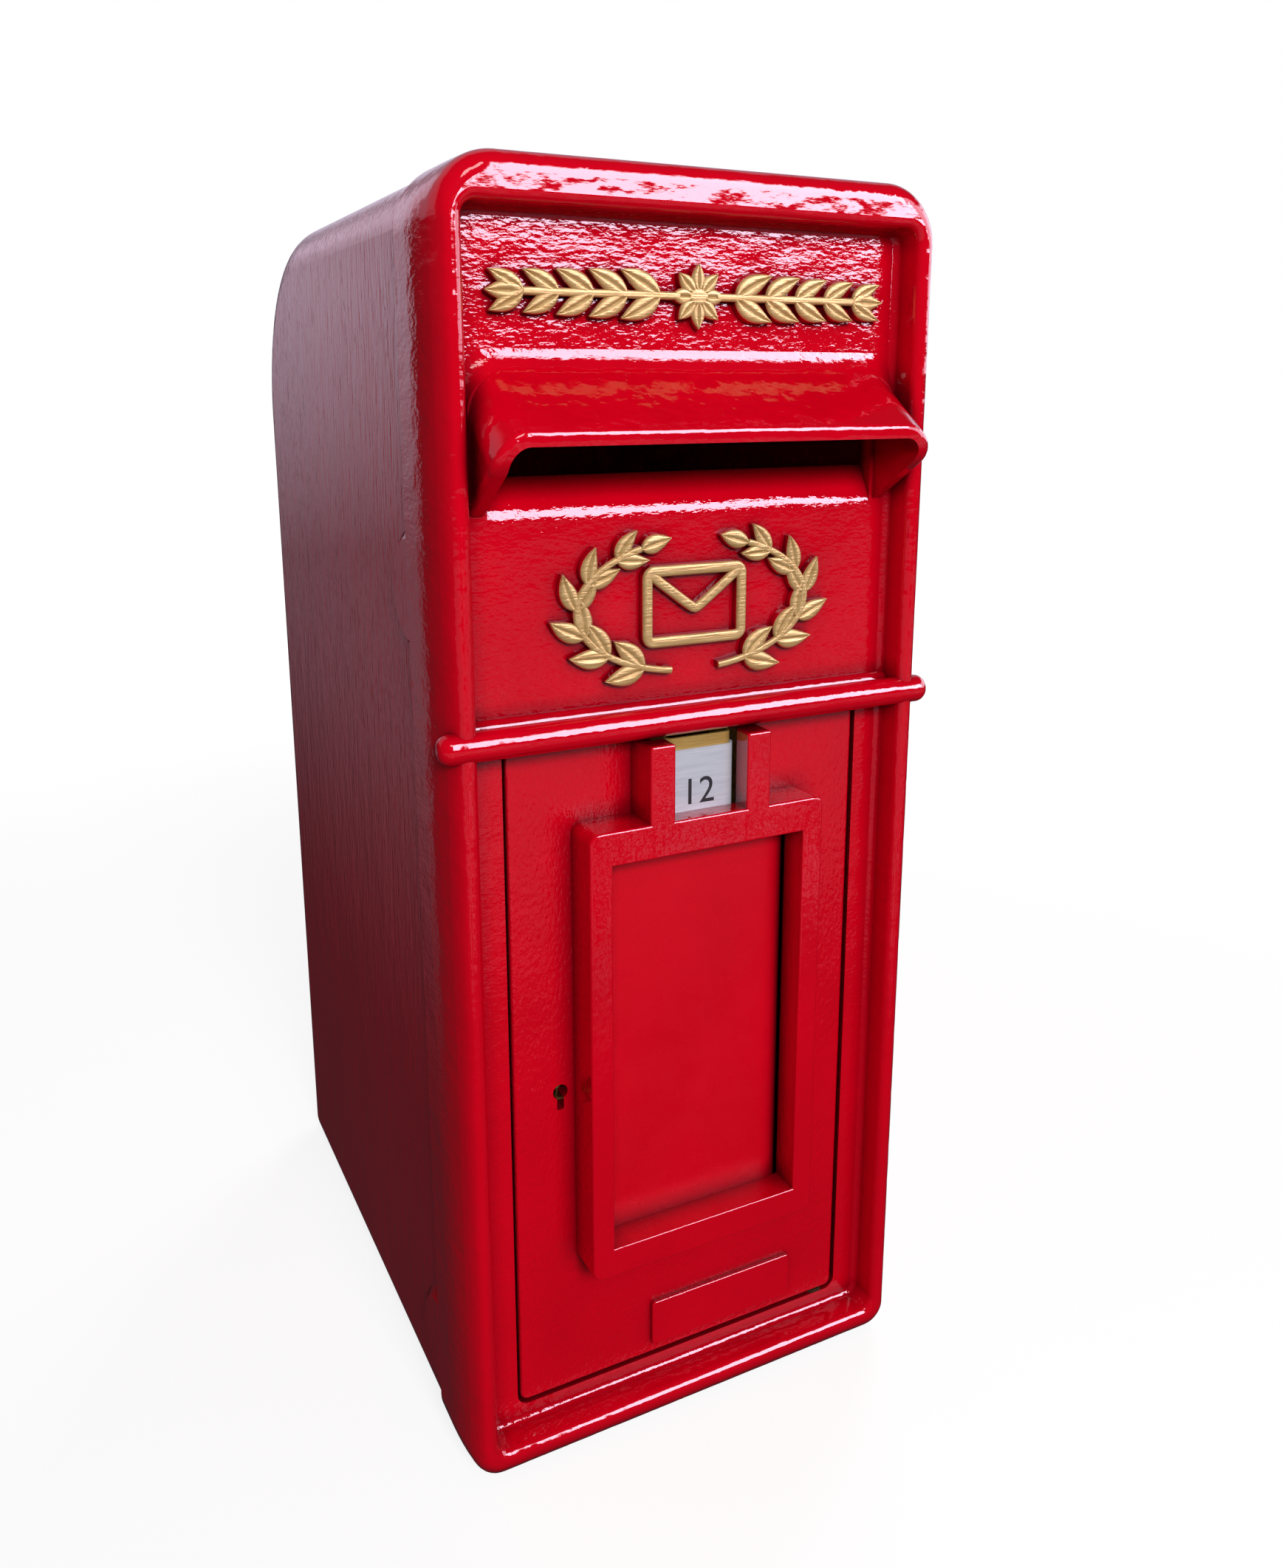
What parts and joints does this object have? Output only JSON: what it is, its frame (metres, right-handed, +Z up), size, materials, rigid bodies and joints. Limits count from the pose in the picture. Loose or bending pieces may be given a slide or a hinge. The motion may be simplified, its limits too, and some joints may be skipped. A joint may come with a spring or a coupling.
{
  "type": "wall letter box",
  "caption": "Red cast-iron wall letter box: deep rounded case, front casting with a hooded posting slot over a ledge, and a locking side-hinged door with a raised notice frame.",
  "frame": {"origin": "on the base plane z = 0, under the middle of the box round the whole object", "axes": "+X to the viewer's right when facing the door, +Y from the front to the back, +Z up"},
  "size_m": [0.244, 0.356, 0.58],
  "materials": {
    "red_paint": "thick gloss paint brushed over a rough iron casting",
    "red_plate": "smooth gloss paint on a pressed plate",
    "gilt": "gold paint brushed on raised ornament",
    "steel": "plain, zinc plated",
    "brass": "brushed",
    "tablet_metal": "brushed",
    "ink": "matt black printing on the tablet"
  },
  "bodies": {
    "case": {"body_shell": "red_paint", "front_casting": "red_paint", "frame_bolts": "steel", "frame_washers": "steel", "hinge_keeper_upper": "steel", "hinge_keeper_lower": "steel", "keeper_screws": "steel", "pivot_washer": "brass"},
    "door": {"door_casting": "red_paint", "hinge_pin_upper": "steel", "hinge_pin_lower": "steel", "notice_plate": "red_plate", "notice_clips": "steel", "clip_screws": "steel", "tablet": "tablet_metal", "tablet_holder": "brass", "holder_screws": "steel", "lock_case": "steel", "lock_cover": "steel", "lock_screws": "steel"},
    "bolt": {"lock_bolt": "steel", "bolt_spring": "steel"}
  },
  "joints": [
    {"name": "door_hinge", "type": "hinge", "parent": "case", "child": "door", "pos_m": [0.0797, -0.14, 0.18385], "axis": [0, 0, 1], "range_deg": [0, 95]},
    {"name": "lock_bolt_slide", "type": "slide", "parent": "door", "child": "bolt", "axis": [-1, 0, 0], "range_m": [0, 0.01]}
  ]
}
